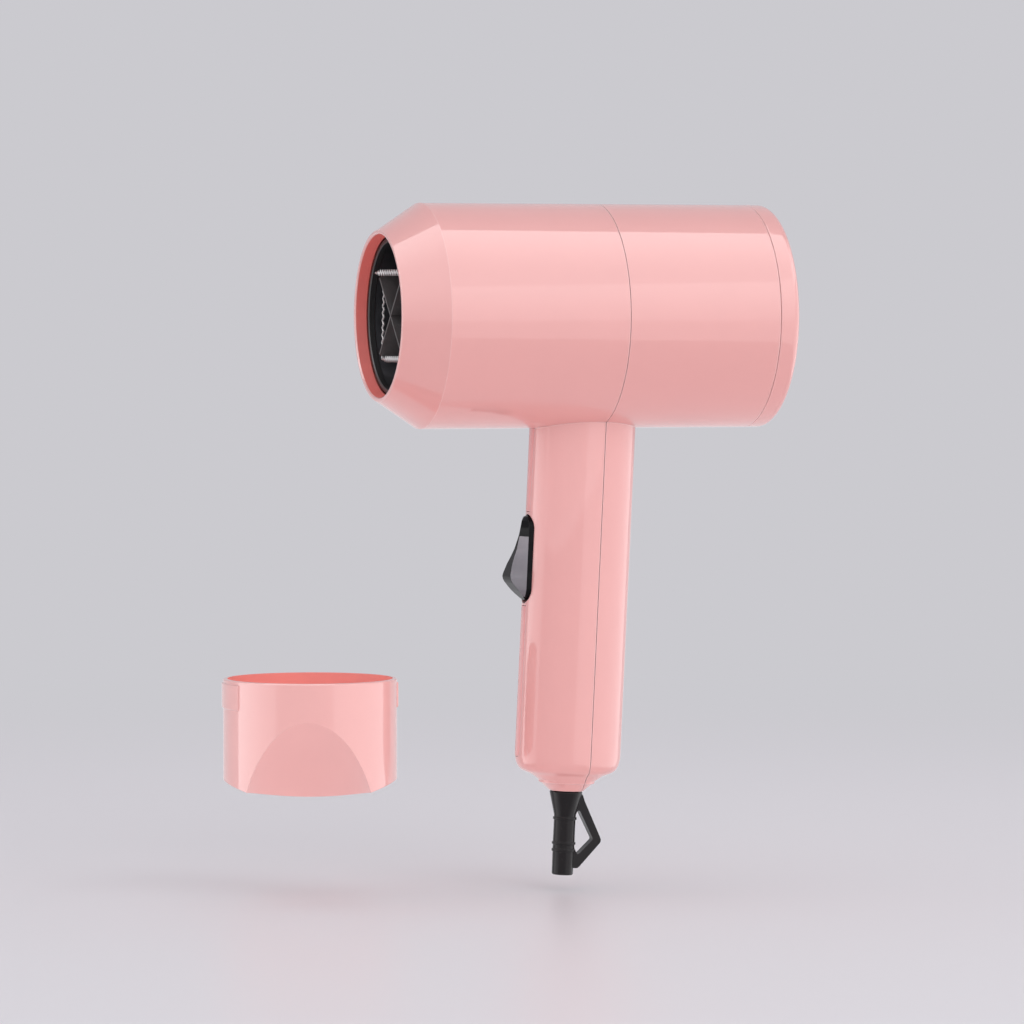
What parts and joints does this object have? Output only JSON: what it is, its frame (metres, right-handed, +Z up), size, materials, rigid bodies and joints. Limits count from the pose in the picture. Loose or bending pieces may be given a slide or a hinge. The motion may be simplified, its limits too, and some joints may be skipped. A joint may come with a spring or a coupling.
{
  "type": "travel hair dryer",
  "caption": "Compact pink travel hair dryer with a round barrel, leaning oval handle, rocker switch, hang loop and a loose concentrator nozzle.",
  "frame": {"origin": "on the grip axis at the middle of the hand, 105 mm below the barrel axis", "axes": "+Z up along the upright of the dryer, +X from the air outlet to the intake, +Y to the far side"},
  "size_m": [0.2005, 0.08, 0.2399],
  "materials": {
    "pink_shell": "satin moulded plastic with a clear gloss, dusty pink",
    "pink_trim": "the same pink plastic, a little darker",
    "pink_nozzle": "moulded pink plastic, smooth",
    "gloss_black": "polished black plastic",
    "black_moulding": "fine textured black plastic",
    "black_rubber": "soft black rubber",
    "grey_moulding": "heat resistant grey plastic",
    "filter_mesh": "woven wire mesh",
    "dark_steel": "heat darkened sheet steel",
    "bright_steel": "plated steel",
    "heating_wire": "nickel chrome resistance wire",
    "terminal_brass": "stamped brass",
    "mica": "pressed mica sheet",
    "circuit_board": "glass fibre circuit board",
    "lead_red": "red wire insulation",
    "lead_blue": "blue wire insulation"
  },
  "bodies": {
    "dryer": {"front_housing": "pink_shell", "rear_housing": "pink_shell", "front_strip_upper": "pink_trim", "front_strip_lower": "pink_trim", "switch_body": "black_moulding", "switch_pivot_pin": "bright_steel", "switch_terminal_low": "terminal_brass", "switch_terminal_common": "terminal_brass", "switch_terminal_high": "terminal_brass", "outlet_ring": "black_moulding", "heater_liner": "dark_steel", "heater_board_a": "mica", "heater_board_b": "mica", "heater_coil_front": "heating_wire", "heater_coil_rear": "heating_wire", "thermostat": "bright_steel", "thermal_fuse": "terminal_brass", "air_duct": "grey_moulding", "motor_holder": "grey_moulding", "motor_damper": "black_rubber", "motor_can": "bright_steel", "motor_end_cap": "black_moulding", "motor_bushing_front": "terminal_brass", "motor_bushing_rear": "terminal_brass", "motor_terminal_left": "terminal_brass", "motor_terminal_right": "terminal_brass", "rectifier_board": "circuit_board", "rectifier_diode_1": "black_moulding", "rectifier_diode_2": "black_moulding", "rectifier_diode_3": "black_moulding", "rectifier_diode_4": "black_moulding", "suppressor_capacitor": "grey_moulding", "strain_relief": "black_rubber", "cord_clamp": "grey_moulding", "cord_clamp_screw_left": "bright_steel", "cord_clamp_screw_right": "bright_steel", "housing_screw_upper": "bright_steel", "housing_screw_lower": "bright_steel", "lead_live": "lead_red", "lead_neutral": "lead_blue", "lead_motor": "lead_red", "lead_heater": "lead_red"},
    "rocker": {"switch_rocker": "gloss_black"},
    "rotor": {"fan_impeller": "black_moulding", "motor_shaft": "bright_steel"},
    "intake_cap": {"rear_cap": "pink_shell", "intake_filter": "filter_mesh"},
    "concentrator": {"nozzle": "pink_nozzle"}
  },
  "joints": [
    {"name": "rocker_tilt", "type": "hinge", "parent": "dryer", "child": "rocker", "pos_m": [-0.01264, 0, 0.01842], "axis": [0, -1, 0], "range_deg": [0, 10]},
    {"name": "fan_spin", "type": "hinge", "parent": "dryer", "child": "rotor", "pos_m": [0.0465, 0, 0.105], "axis": [1, 0, 0], "continuous": true},
    {"name": "cap_turn", "type": "hinge", "parent": "dryer", "child": "intake_cap", "pos_m": [0.0675, 0, 0.105], "axis": [1, 0, 0], "range_deg": [0, 20]},
    {"name": "nozzle_lift", "type": "slide", "parent": "dryer", "child": "concentrator", "axis": [0, 0, 1], "range_m": [0, 0.06]}
  ]
}
